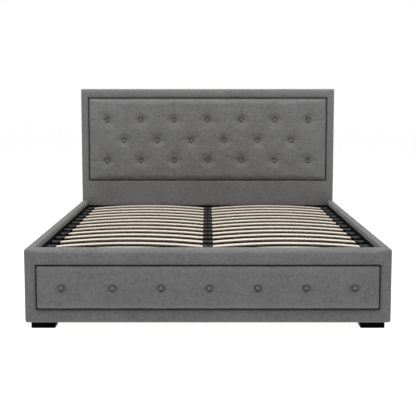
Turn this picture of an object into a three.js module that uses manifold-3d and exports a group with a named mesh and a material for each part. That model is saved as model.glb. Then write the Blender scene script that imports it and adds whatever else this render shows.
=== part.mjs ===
// A queen-size upholstered platform bed with one full-width storage drawer in the foot end.
// Millimetres. +X is the sleeper's side-to-side direction, +Y runs from the foot to the headboard, +Z is up.
// The origin is on the floor, at the middle of the bed's overall length and width.
import * as THREE from "three";
import { mergeVertices } from "three/addons/utils/BufferGeometryUtils.js";
import Module from "manifold-3d";

const wasm = await Module();
wasm.setup();

// ---- Driving dimensions -------------------------------------------------------------------------
const MATTRESS_WIDTH = 1530;
const SIDE_PLAY = 10; // between the mattress and each side rail
const RAIL_THICKNESS = 35;
const FOOT_THICKNESS = 50;
const HEAD_THICKNESS = 80;
const DECK_LENGTH = 2055; // from the foot end's inner face to the headboard's front face
const RAIL_TOP = 356;
const HEAD_TOP = 1070;
const SKIRT_BOTTOM = 24.5; // the upholstery stops here, above the floor
const GAP = 0.3; // clearance between pieces that rest on each other

const HALF_WIDTH = MATTRESS_WIDTH / 2 + SIDE_PLAY + RAIL_THICKNESS;
const LENGTH = FOOT_THICKNESS + DECK_LENGTH + HEAD_THICKNESS;
const FOOT_FRONT = -LENGTH / 2;
const FOOT_BACK = FOOT_FRONT + FOOT_THICKNESS;
const HEAD_BACK = LENGTH / 2;
const HEAD_FRONT = HEAD_BACK - HEAD_THICKNESS;
const INNER_HALF = HALF_WIDTH - RAIL_THICKNESS;

// Upholstery and timber
const PAD = 12; // foam and fabric over the timber
const INNER_PAD = 3; // fabric on a rail's inner face
const BACK_FLAP = 2; // fabric stapled round the headboard's back
const RAIL_BOARD = 19;
const RAIL_BOARD_OUTER = HALF_WIDTH - PAD - 0.7;
const RAIL_BOARD_INNER = RAIL_BOARD_OUTER - RAIL_BOARD;
const INNER_PAD_BOTTOM = 264; // a rail's inner fabric ends here, at the slat bearer

// Foot end: the opening that the drawer front fills, with a shadow gap all round
const OPENING = { half: 762, bottom: 83, top: 285 };
const REVEAL = 8;

// Headboard: the recess that holds the tufted pad, and the plain strip below it
const RECESS = { half: 765.5, bottom: 481, top: 1016.5 };
const HEAD_STRIP_BOTTOM = 322;
const HEAD_STEP = 37.5; // from the headboard's front face back to the frame that carries the pad

// Slats
const SLAT_ROWS = 14;
const SLAT_PITCH = 151;
const FIRST_SLAT = HEAD_FRONT - 50;
const SLAT = { width: 58, thickness: 6, camber: 16, endTop: 310, inner: 5, outer: 746 };
const MOUTH_OUTER = 724; // where a slat enters its side holder
const MOUTH_INNER = 24.5; // where it enters its centre holder
const BEARER_TOP = 297.5;
const HOLDER = { width: 63, top: 314.5, wall: 1.8, floor: 2 };

// Centre support
const SPINE = { half: 20, height: 30, wall: 2 };
const LEG_PLACES = { front: -380, rear: 320 };
const LEG_RADIUS = 16;

// Drawer
const BOX = { back: -505, bottom: 105, top: 245, outer: 743, board: 15 };
const PANEL = 9;
const FRONT_PAD_THICKNESS = 30;
const FRONT_BOARD = 16;

// Telescopic slides: a fixed outer member, a middle member and an inner one on the drawer
const SLIDE = { length: 500, middle: 480, wall: 1.5, z: 175, mount: 756 };
const SLIDE_FRONT = FOOT_BACK + 12;

const DUST_SHEET = { top: 259.5, thickness: 2.5 };

// ---- Materials ----------------------------------------------------------------------------------
const material = (color, roughness, metalness = 0) =>
  new THREE.MeshStandardMaterial({ color, roughness, metalness });
const FABRIC = material(0x6b6b6b, 0.95);
const SLAT_WOOD = material(0xdccfbd, 0.55);
const TIMBER = material(0xb9986c, 0.8);
const BLACK_TIMBER = material(0x1a1918, 0.85);
const BOARD = material(0x5d5b59, 0.6);
const BLACK_STEEL = material(0x141414, 0.45, 0.6);
const ZINC_STEEL = material(0xa9adb0, 0.35, 0.9);
const BLACK_PLASTIC = material(0x101010, 0.5);
const DUST_CLOTH = material(0x0c0c0c, 1);

const bed = new THREE.Group();

// ---- Shape helpers ------------------------------------------------------------------------------
// A closed box between two corners.
function box(x0, x1, y0, y1, z0, z1) {
  const geometry = new THREE.BoxGeometry(x1 - x0, y1 - y0, z1 - z0);
  return geometry.translate((x0 + x1) / 2, (y0 + y1) / 2, (z0 + z1) / 2);
}

// A geometry as a solid that can be cut and joined.
function solid(geometry) {
  const bare = geometry.clone();
  bare.deleteAttribute("normal");
  bare.deleteAttribute("uv");
  const merged = mergeVertices(bare, 1e-4);
  const mesh = { numProp: 3, vertProperties: merged.attributes.position.array };
  mesh.triVerts = new Uint32Array(merged.index.array);
  return new wasm.Manifold(new wasm.Mesh(mesh));
}

// A solid as a geometry again.
function geometryOf(made) {
  const mesh = made.getMesh();
  const geometry = new THREE.BufferGeometry();
  geometry.setAttribute("position", new THREE.BufferAttribute(mesh.vertProperties, 3));
  geometry.setIndex(new THREE.BufferAttribute(mesh.triVerts, 1));
  geometry.computeVertexNormals();
  return geometry;
}

const boxSolid = (...corners) => solid(box(...corners));
const joined = (solids) => solids.reduce((sum, one) => sum.add(one));

// A closed outline in (x, z), given by corners [x, z, radius], with each corner rounded by an arc.
function roundedShape(corners, segments = 4) {
  const shape = new THREE.Shape();
  corners.forEach(([x, z, radius = 0], i) => {
    const at = new THREE.Vector2(x, z);
    const before = new THREE.Vector2(...corners.at(i - 1).slice(0, 2));
    const after = new THREE.Vector2(...corners[(i + 1) % corners.length].slice(0, 2));
    const start = at.clone().add(before.sub(at).setLength(radius));
    const end = at.clone().add(after.sub(at).setLength(radius));
    if (i === 0) shape.moveTo(start.x, start.y);
    else shape.lineTo(start.x, start.y);
    if (radius) {
      const points = new THREE.QuadraticBezierCurve(start, at, end).getPoints(segments);
      points.slice(1).forEach((p) => shape.lineTo(p.x, p.y));
    }
  });
  shape.closePath();
  return shape;
}

// A shape drawn in (x, z) and extruded along Y, from y0 to y1. bevel rounds its front and back edges.
function extrudeY(shape, y0, y1, bevel = 0) {
  const geometry = new THREE.ExtrudeGeometry(shape, {
    depth: y1 - y0 - 2 * bevel,
    bevelEnabled: bevel > 0,
    bevelThickness: bevel,
    bevelSize: bevel,
    bevelOffset: -bevel,
    bevelSegments: 3,
  });
  return geometry.rotateX(Math.PI / 2).translate(0, y1 - bevel, 0);
}

// A block with rounded outline corners and rounded front and back edges.
function softBlock(halfWidth, y0, y1, z0, z1, corner, bevel) {
  const corners = [
    [-halfWidth, z0, corner],
    [halfWidth, z0, corner],
    [halfWidth, z1, corner],
    [-halfWidth, z1, corner],
  ];
  return extrudeY(roundedShape(corners), y0, y1, bevel);
}

// A piece in its own named node.
function add(name, geometry, finish) {
  const mesh = new THREE.Mesh(geometry, finish);
  mesh.name = name;
  bed.add(mesh);
}

// The same outline on the bed's other side, keeping its faces pointing out.
const mirrored = (made) => made.mirror([1, 0, 0]);

// Adds a right-hand solid and its mirror image, as right_NAME and left_NAME.
function addPair(name, made, finish) {
  add(`right_${name}`, geometryOf(made), finish);
  add(`left_${name}`, geometryOf(mirrored(made)), finish);
}

// ---- Headboard ----------------------------------------------------------------------------------
const FRAME_OUTER = HALF_WIDTH - PAD - GAP;
const FRAME_TOP = HEAD_TOP - PAD - GAP;
const FRAME_FRONT = HEAD_FRONT + PAD + GAP;
const FRAME_STEP = HEAD_FRONT + HEAD_STEP;
const FRAME_BACK = HEAD_BACK - BACK_FLAP - GAP;

// One glued timber frame: battens round the recess, posts that stand on the floor, and rails between them.
function headboardFrame() {
  const POST = 60;
  const postInner = FRAME_OUTER - POST;
  const lip = PAD + GAP;
  const battens = boxSolid(
    -FRAME_OUTER, FRAME_OUTER, FRAME_FRONT, FRAME_STEP + 1, HEAD_STRIP_BOTTOM, FRAME_TOP,
  ).subtract(
    boxSolid(
      -RECESS.half - lip, RECESS.half + lip, FRAME_FRONT - 1, FRAME_STEP + 2,
      RECESS.bottom - lip, RECESS.top + lip,
    ),
  );
  const post = boxSolid(postInner, FRAME_OUTER, FRAME_STEP, FRAME_BACK, 0, FRAME_TOP);
  const rail = (z0, z1) => boxSolid(-postInner - 1, postInner + 1, FRAME_STEP, FRAME_BACK, z0, z1);
  const rails = [rail(40, 100), rail(240, 330), rail(440, 500), rail(FRAME_TOP - 60, FRAME_TOP)];
  return joined([battens, post, mirrored(post), ...rails]);
}

// Foam and fabric over the frame: the border, the plain strip, the sides and top, and flaps on the back.
function headboardCover() {
  const FLAP = 40;
  const inside = HALF_WIDTH - PAD;
  const block = solid(
    softBlock(HALF_WIDTH, HEAD_FRONT, HEAD_BACK, SKIRT_BOTTOM, HEAD_TOP, 11, 8),
  );
  const front = boxSolid(
    -HALF_WIDTH, HALF_WIDTH, HEAD_FRONT, HEAD_FRONT + PAD, HEAD_STRIP_BOTTOM, HEAD_TOP,
  );
  const lining = boxSolid(
    -RECESS.half - PAD, RECESS.half + PAD, HEAD_FRONT, FRAME_STEP - GAP,
    RECESS.bottom - PAD, RECESS.top + PAD,
  );
  const recess = boxSolid(
    -RECESS.half, RECESS.half, HEAD_FRONT - 1, FRAME_STEP + 1, RECESS.bottom, RECESS.top,
  );
  const side = boxSolid(inside, HALF_WIDTH, HEAD_FRONT, HEAD_BACK, SKIRT_BOTTOM, HEAD_TOP);
  const top = boxSolid(-HALF_WIDTH, HALF_WIDTH, HEAD_FRONT, HEAD_BACK, HEAD_TOP - PAD, HEAD_TOP);
  const flaps = boxSolid(
    -HALF_WIDTH, HALF_WIDTH, HEAD_BACK - BACK_FLAP, HEAD_BACK, SKIRT_BOTTOM, HEAD_TOP,
  ).subtract(
    boxSolid(
      -inside + FLAP, inside - FLAP, HEAD_BACK - BACK_FLAP - 1, HEAD_BACK + 1,
      0, HEAD_TOP - PAD - FLAP,
    ),
  );
  const whole = joined([front, lining, side, mirrored(side), top, flaps]);
  return whole.subtract(recess).intersect(block);
}

// The tufted pad on its own board, in the recess, a little proud of the border.
function headboardPad() {
  const PROUD = 5;
  return softBlock(
    RECESS.half - REVEAL, HEAD_FRONT - PROUD, FRAME_STEP - GAP,
    RECESS.bottom + REVEAL + 1, RECESS.top - REVEAL - 1, 9, 6,
  );
}

add("headboard_frame", geometryOf(headboardFrame()), BLACK_TIMBER);
add("headboard_cover", geometryOf(headboardCover()), FABRIC);
add("headboard_pad", headboardPad(), FABRIC);

// ---- Side rails ---------------------------------------------------------------------------------
const RAIL_FOOT_END = FOOT_BACK + GAP;
const BOARD_BOTTOM = SKIRT_BOTTOM + PAD;
const BOARD_TOP = RAIL_TOP - PAD;

// The board runs on to the headboard's post, notched where it passes under the headboard's strip.
function railBoard() {
  const board = boxSolid(
    RAIL_BOARD_INNER, RAIL_BOARD_OUTER, RAIL_FOOT_END, FRAME_STEP - GAP,
    BOARD_BOTTOM + GAP, BOARD_TOP - GAP,
  );
  const notch = boxSolid(
    RAIL_BOARD_INNER - 1, HALF_WIDTH, HEAD_FRONT - GAP, FRAME_STEP,
    HEAD_STRIP_BOTTOM - GAP, BOARD_TOP,
  );
  return board.subtract(notch);
}

// A padded cover that wraps the board's outer face, top and bottom edge, and the top of its inner face.
function railCover() {
  const outer = RAIL_BOARD_OUTER + GAP;
  const inner = RAIL_BOARD_INNER - GAP;
  const profile = roundedShape([
    [HALF_WIDTH, SKIRT_BOTTOM, 7],
    [HALF_WIDTH, RAIL_TOP, 12],
    [INNER_HALF, RAIL_TOP, 11],
    [INNER_HALF, INNER_PAD_BOTTOM],
    [inner, INNER_PAD_BOTTOM],
    [inner, BOARD_TOP],
    [outer, BOARD_TOP],
    [outer, BOARD_BOTTOM],
    [inner, BOARD_BOTTOM],
    [inner, SKIRT_BOTTOM, 3],
  ]);
  return solid(extrudeY(profile, RAIL_FOOT_END, HEAD_FRONT - GAP));
}

addPair("rail_board", railBoard(), TIMBER);
addPair("rail_cover", railCover(), FABRIC);

// ---- Foot end -----------------------------------------------------------------------------------
// A timber ring round the drawer's opening.
function footFrame() {
  const edge = PAD + GAP;
  return boxSolid(
    -HALF_WIDTH + edge, HALF_WIDTH - edge, FOOT_FRONT + edge, FOOT_BACK,
    SKIRT_BOTTOM + edge, RAIL_TOP - edge,
  ).subtract(
    boxSolid(
      -OPENING.half - edge, OPENING.half + edge, FOOT_FRONT, FOOT_BACK + 1,
      OPENING.bottom - edge, OPENING.top + edge,
    ),
  );
}

// A padded cover over the ring: its front, its outer edges and the edges of the opening.
function footCover() {
  const block = solid(
    softBlock(HALF_WIDTH, FOOT_FRONT, FOOT_BACK, SKIRT_BOTTOM, RAIL_TOP, 12, 9),
  );
  const pocket = boxSolid(
    -HALF_WIDTH + PAD, HALF_WIDTH - PAD, FOOT_FRONT + PAD, FOOT_BACK + 1,
    SKIRT_BOTTOM + PAD, RAIL_TOP - PAD,
  );
  const lining = boxSolid(
    -OPENING.half - PAD, OPENING.half + PAD, FOOT_FRONT, FOOT_BACK,
    OPENING.bottom - PAD, OPENING.top + PAD,
  );
  const opening = boxSolid(
    -OPENING.half, OPENING.half, FOOT_FRONT - 1, FOOT_BACK + 1, OPENING.bottom, OPENING.top,
  );
  return block.subtract(pocket.subtract(lining)).subtract(opening);
}

// A low moulded foot whose inner side leans in towards the floor.
function frontFoot() {
  const foot = { inner: 671, outer: 783, lean: 6, top: SKIRT_BOTTOM - GAP };
  const profile = roundedShape([
    [foot.inner + foot.lean, 0, 4],
    [foot.outer, 0, 3],
    [foot.outer, foot.top],
    [foot.inner, foot.top],
  ]);
  return solid(extrudeY(profile, FOOT_FRONT + 8, FOOT_FRONT + 78, 1));
}

add("foot_frame", geometryOf(footFrame()), TIMBER);
add("foot_cover", geometryOf(footCover()), FABRIC);
addPair("front_foot", frontFoot(), BLACK_PLASTIC);

// ---- Slat deck ----------------------------------------------------------------------------------
const slatRowY = (row) => FIRST_SLAT - row * SLAT_PITCH;
const BEARER = { width: 40, bottom: 260, lip: 328, wall: 3 };
const HOLDER_OUTER = INNER_HALF - BEARER.wall - 2 * GAP;

// A steel T-section along the inside of a rail: its shelf carries the slats and its upright stands above them.
// The upright stops at the headboard's strip, and the shelf runs on to the headboard's post.
function slatBearer() {
  const outer = INNER_HALF - GAP;
  const upright = boxSolid(
    outer - BEARER.wall, outer, RAIL_FOOT_END, HEAD_FRONT - GAP, BEARER.bottom, BEARER.lip,
  );
  const shelf = boxSolid(
    outer - BEARER.width, outer, RAIL_FOOT_END, FRAME_STEP - GAP, BEARER_TOP - BEARER.wall, BEARER_TOP,
  );
  return upright.add(shelf);
}

// One moulded cap that a slat's end pushes into, from x0 to x1, open at the mouth x0.
function holderCap(x0, x1, y) {
  const half = HOLDER.width / 2;
  const base = BEARER_TOP + GAP;
  const cap = boxSolid(x0, x1, y - half, y + half, base, HOLDER.top);
  const pocket = boxSolid(
    x0 - 1, x1 - HOLDER.wall, y - half + HOLDER.wall, y + half - HOLDER.wall,
    base + HOLDER.floor, HOLDER.top - HOLDER.wall,
  );
  return cap.subtract(pocket);
}

// The caps of one line of slat ends, on one strip.
function holderStrip(x0, x1, centred) {
  const base = BEARER_TOP + GAP;
  const reach = HOLDER.width / 2;
  const [web0, web1] = centred ? [-8, 8] : [x1 - 14, x1];
  const parts = [
    boxSolid(web0, web1, slatRowY(SLAT_ROWS - 1) - reach, slatRowY(0) + reach, base, base + 2),
  ];
  for (let row = 0; row < SLAT_ROWS; row++) {
    const y = slatRowY(row);
    if (centred) {
      const half = holderCap(-x1, 0.9, y);
      parts.push(half, mirrored(half));
    } else {
      parts.push(holderCap(x0, x1, y));
    }
  }
  return joined(parts);
}

// A bent birch slat: two arcs of one centre, with square ends.
function slat() {
  const chord = MOUTH_OUTER - MOUTH_INNER;
  const radius = (chord ** 2 / 4 + SLAT.camber ** 2) / (2 * SLAT.camber);
  const centreX = (MOUTH_OUTER + MOUTH_INNER) / 2;
  const centreZ = SLAT.endTop + SLAT.camber - radius;
  const angleAt = (x) => Math.acos((x - centreX) / radius);
  const [first, last] = [angleAt(SLAT.outer), angleAt(SLAT.inner)];
  const shape = new THREE.Shape();
  shape.absarc(centreX, centreZ, radius, first, last, false);
  shape.absarc(centreX, centreZ, radius - SLAT.thickness, last, first, true);
  shape.closePath();
  const geometry = new THREE.ExtrudeGeometry(shape, {
    depth: SLAT.width,
    bevelEnabled: false,
    curveSegments: 12,
  });
  return solid(geometry.rotateX(Math.PI / 2).translate(0, SLAT.width / 2, 0));
}

// The steel centre beam, with a plate at each end that bolts to the foot frame and the headboard frame.
function centreSpine() {
  const PLATE = { half: 45, thickness: 3, bottom: 261 };
  const bottom = BEARER_TOP - SPINE.height;
  const y0 = FOOT_BACK + GAP;
  const y1 = FRAME_STEP - GAP;
  const tube = boxSolid(-SPINE.half, SPINE.half, y0, y1, bottom, BEARER_TOP).subtract(
    boxSolid(
      -SPINE.half + SPINE.wall, SPINE.half - SPINE.wall, y0 - 1, y1 + 1,
      bottom + SPINE.wall, BEARER_TOP - SPINE.wall,
    ),
  );
  // Each plate has the tube's own window, so that the beam isn't sealed.
  const plate = (from, to) =>
    boxSolid(-PLATE.half, PLATE.half, from, to, PLATE.bottom, BEARER_TOP).subtract(
      boxSolid(
        -SPINE.half + SPINE.wall, SPINE.half - SPINE.wall, from - 1, to + 1,
        bottom + SPINE.wall, BEARER_TOP - SPINE.wall,
      ),
    );
  return joined([tube, plate(y0, y0 + PLATE.thickness), plate(y1 - PLATE.thickness, y1)]);
}

// A round steel leg with a wide glide at the floor and a flange under the beam.
function centreLeg(y) {
  const top = BEARER_TOP - SPINE.height - GAP;
  const profile = [
    [0, 0],
    [24, 0],
    [27, 3],
    [27, 9],
    [20, 14],
    [LEG_RADIUS, 14],
    [LEG_RADIUS, top - 4],
    [19, top - 4],
    [19, top],
    [0, top],
  ].map(([r, z]) => new THREE.Vector2(r, z));
  return new THREE.LatheGeometry(profile, 24).rotateX(Math.PI / 2).translate(0, y, 0);
}

// Black cloth stretched under the beam and bearers, over the drawer, with a hole for each leg.
function dustSheet() {
  const half = RAIL_BOARD_INNER - 1;
  const sheet = boxSolid(
    -half, half, FOOT_BACK + 1, FRAME_STEP - 1, DUST_SHEET.top - DUST_SHEET.thickness, DUST_SHEET.top,
  );
  const holes = Object.values(LEG_PLACES).map((y) =>
    solid(
      new THREE.CylinderGeometry(LEG_RADIUS + 1, LEG_RADIUS + 1, 20, 24)
        .rotateX(Math.PI / 2)
        .translate(0, y, DUST_SHEET.top),
    ),
  );
  return sheet.subtract(joined(holes));
}

addPair("slat_bearer", slatBearer(), BLACK_STEEL);
addPair("holder_strip", holderStrip(MOUTH_OUTER, HOLDER_OUTER, false), BLACK_PLASTIC);
add("centre_holder_strip", geometryOf(holderStrip(0, MOUTH_INNER, true)), BLACK_PLASTIC);
add("centre_spine", geometryOf(centreSpine()), BLACK_STEEL);
for (const [place, y] of Object.entries(LEG_PLACES)) {
  add(`centre_leg_${place}`, centreLeg(y), BLACK_STEEL);
}
add("dust_sheet", geometryOf(dustSheet()), DUST_CLOTH);

const oneSlat = slat();
for (let row = 0; row < SLAT_ROWS; row++) {
  const number = String(row + 1).padStart(2, "0");
  const placed = oneSlat.translate([0, slatRowY(row), 0]);
  addPair(`slat_${number}`, placed, SLAT_WOOD);
}

// ---- Drawer -------------------------------------------------------------------------------------
const FRONT_BOARD_BACK = FOOT_FRONT + FRONT_PAD_THICKNESS + FRONT_BOARD + GAP;

// The tufted drawer front, flush with the foot end.
function drawerFrontPad() {
  return softBlock(
    OPENING.half - REVEAL, FOOT_FRONT, FOOT_FRONT + FRONT_PAD_THICKNESS,
    OPENING.bottom + REVEAL, OPENING.top - REVEAL, 9, 6,
  );
}

function drawerFrontBoard() {
  const inset = REVEAL + 5;
  return box(
    -OPENING.half + inset, OPENING.half - inset,
    FOOT_FRONT + FRONT_PAD_THICKNESS + GAP, FRONT_BOARD_BACK,
    OPENING.bottom + inset, OPENING.top - inset,
  );
}

const BOX_INNER = BOX.outer - BOX.board;
const BOX_FRONT = FRONT_BOARD_BACK + GAP;
const PANEL_BOTTOM = BOX.bottom + 5;

const drawerSide = () =>
  boxSolid(BOX_INNER, BOX.outer, BOX_FRONT, BOX.back, BOX.bottom, BOX.top);

const drawerBack = () =>
  box(
    -BOX_INNER + GAP, BOX_INNER - GAP, BOX.back - BOX.board, BOX.back,
    PANEL_BOTTOM + PANEL + GAP, BOX.top,
  );

// The bottom panel, with a stiffening batten glued under its middle.
function drawerBottom() {
  const BATTEN = { half: 22, depth: 17 };
  const half = BOX_INNER - GAP;
  const panel = boxSolid(-half, half, BOX_FRONT, BOX.back, PANEL_BOTTOM, PANEL_BOTTOM + PANEL);
  const batten = boxSolid(
    -BATTEN.half, BATTEN.half, BOX_FRONT, BOX.back, PANEL_BOTTOM - BATTEN.depth, PANEL_BOTTOM + 1,
  );
  return panel.add(batten);
}

add("drawer_front_pad", drawerFrontPad(), FABRIC);
add("drawer_front_board", drawerFrontBoard(), BOARD);
addPair("drawer_side", drawerSide(), BOARD);
add("drawer_back", drawerBack(), BOARD);
add("drawer_bottom", geometryOf(drawerBottom()), BOARD);

// A channel along Y: its web stands at x0, and its two flanges reach to x1.
function channel(webX, flangeX, halfHeight, y0, y1) {
  const step = Math.sign(flangeX - webX) * SLIDE.wall;
  const span = (a, b) => [Math.min(a, b), Math.max(a, b)];
  const web = boxSolid(
    ...span(webX, webX + step), y0, y1, SLIDE.z - halfHeight, SLIDE.z + halfHeight,
  );
  const flange = (z) => boxSolid(...span(webX, flangeX), y0, y1, z, z + SLIDE.wall);
  return joined([
    web,
    flange(SLIDE.z - halfHeight),
    flange(SLIDE.z + halfHeight - SLIDE.wall),
  ]);
}

// The fixed member, with two stand-off brackets that reach the rail board.
function slideOuter() {
  const BRACKET = { length: 45, half: 15, inset: 40 };
  const back = SLIDE_FRONT + SLIDE.length;
  const bracket = (y) =>
    boxSolid(
      SLIDE.mount - 0.5, RAIL_BOARD_INNER - GAP, y, y + BRACKET.length,
      SLIDE.z - BRACKET.half, SLIDE.z + BRACKET.half,
    );
  return joined([
    channel(SLIDE.mount, SLIDE.mount - 10.5, 22.5, SLIDE_FRONT, back),
    bracket(SLIDE_FRONT + BRACKET.inset),
    bracket(back - BRACKET.inset - BRACKET.length),
  ]);
}

const slideMiddle = () =>
  channel(SLIDE.mount - 2.1, SLIDE.mount - 10, 17, SLIDE_FRONT + 4, SLIDE_FRONT + 4 + SLIDE.middle);

const slideInner = () =>
  channel(BOX.outer + GAP, SLIDE.mount - 4.5, 11, SLIDE_FRONT, SLIDE_FRONT + SLIDE.length);

addPair("slide_outer", slideOuter(), ZINC_STEEL);
addPair("slide_middle", slideMiddle(), ZINC_STEEL);
addPair("slide_inner", slideInner(), ZINC_STEEL);

export default bed;
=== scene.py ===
"""Looks of an upholstered platform bed with a drawer in its foot end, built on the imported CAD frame.

Metres throughout. +X is side to side, +Y runs from the foot to the headboard, +Z is up.
"""

import math

import bpy
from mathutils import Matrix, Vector, noise


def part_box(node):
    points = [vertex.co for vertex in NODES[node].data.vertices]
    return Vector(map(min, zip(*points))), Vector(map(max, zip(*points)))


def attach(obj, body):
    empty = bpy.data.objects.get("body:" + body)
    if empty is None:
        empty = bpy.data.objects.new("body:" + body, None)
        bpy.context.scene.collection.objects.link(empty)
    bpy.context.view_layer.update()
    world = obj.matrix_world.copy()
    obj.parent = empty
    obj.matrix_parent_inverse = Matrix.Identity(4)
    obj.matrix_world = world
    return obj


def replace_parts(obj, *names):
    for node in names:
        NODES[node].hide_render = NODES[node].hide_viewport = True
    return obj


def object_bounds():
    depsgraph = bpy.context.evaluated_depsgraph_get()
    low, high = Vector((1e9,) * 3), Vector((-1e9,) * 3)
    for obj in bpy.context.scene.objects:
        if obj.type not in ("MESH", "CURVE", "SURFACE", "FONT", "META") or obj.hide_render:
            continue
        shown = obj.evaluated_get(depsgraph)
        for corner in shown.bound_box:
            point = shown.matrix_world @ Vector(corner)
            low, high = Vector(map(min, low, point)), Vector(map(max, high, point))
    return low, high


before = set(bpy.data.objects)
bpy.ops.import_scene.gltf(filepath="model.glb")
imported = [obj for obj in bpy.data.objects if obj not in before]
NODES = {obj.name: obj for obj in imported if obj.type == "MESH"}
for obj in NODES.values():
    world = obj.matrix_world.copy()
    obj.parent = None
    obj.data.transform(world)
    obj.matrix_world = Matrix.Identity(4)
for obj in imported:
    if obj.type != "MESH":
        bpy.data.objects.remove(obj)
CAD_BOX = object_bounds()
MM = 0.001

# ---- Camera and light --------------------------------------------------------------------------
FLOOR = 0.0
FOOT_FRONT = CAD_BOX[0][1]
CAMERA_DISTANCE = 4.358  # from the foot end's face, level
CAMERA_HEIGHT = 1.015
CAMERA_PITCH = 6.75  # degrees below level
FOCAL_LENGTH = 86.9  # millimetres, on a sensor of SENSOR_WIDTH
SENSOR_WIDTH = 36.0
SHIFT = (0.0026, 0.0204)
CAMERA_ASIDE = -0.0046  # the camera stands this far off the middle
FLOOR_REACH = 30.0  # from the middle to each edge of the floor
HORIZON_TOP = 0.13  # sine of the elevation up to which the surroundings are white
WALL_BOTTOM = 0.25  # and of the elevation from which they are dim
WALL_LIGHT = 0.06
OVERHEAD_PLACE = (0.0, -0.5, 4.3)
OVERHEAD_SIDE = 5.0
OVERHEAD_POWER = 360.0  # watts


def add_camera():
    data = bpy.data.cameras.new("camera")
    data.lens = FOCAL_LENGTH
    data.sensor_width = SENSOR_WIDTH
    data.shift_x, data.shift_y = SHIFT
    data.clip_end = 2 * FLOOR_REACH
    camera = bpy.data.objects.new("camera", data)
    camera.location = (CAMERA_ASIDE, FOOT_FRONT - CAMERA_DISTANCE, CAMERA_HEIGHT)
    camera.rotation_euler = (math.radians(90.0 - CAMERA_PITCH), 0.0, 0.0)
    bpy.context.scene.collection.objects.link(camera)
    bpy.context.scene.camera = camera


def add_overhead_light():
    """A broad soft light that faces straight down, as a new area light does."""
    data = bpy.data.lights.new("overhead", "AREA")
    data.shape = "SQUARE"
    data.size = OVERHEAD_SIDE
    data.energy = OVERHEAD_POWER
    light = bpy.data.objects.new("overhead", data)
    light.location = OVERHEAD_PLACE
    bpy.context.scene.collection.objects.link(light)


def add_surroundings():
    """White up to a little above the horizon, and dim above that."""
    world = bpy.data.worlds.new("studio")
    world.use_nodes = True
    tree = world.node_tree
    direction = tree.nodes.new("ShaderNodeTexCoord").outputs["Generated"]
    split = tree.nodes.new("ShaderNodeSeparateXYZ")
    tree.links.new(direction, split.inputs["Vector"])
    ramp = tree.nodes.new("ShaderNodeValToRGB")
    horizon, wall = ramp.color_ramp.elements
    horizon.position = HORIZON_TOP
    horizon.color = (1.0, 1.0, 1.0, 1.0)
    wall.position = WALL_BOTTOM
    wall.color = (WALL_LIGHT, WALL_LIGHT, WALL_LIGHT, 1.0)
    tree.links.new(split.outputs["Z"], ramp.inputs["Fac"])
    tree.links.new(ramp.outputs["Color"], tree.nodes["Background"].inputs["Color"])
    bpy.context.scene.world = world
    bpy.context.scene.view_settings.view_transform = "Standard"


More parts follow.
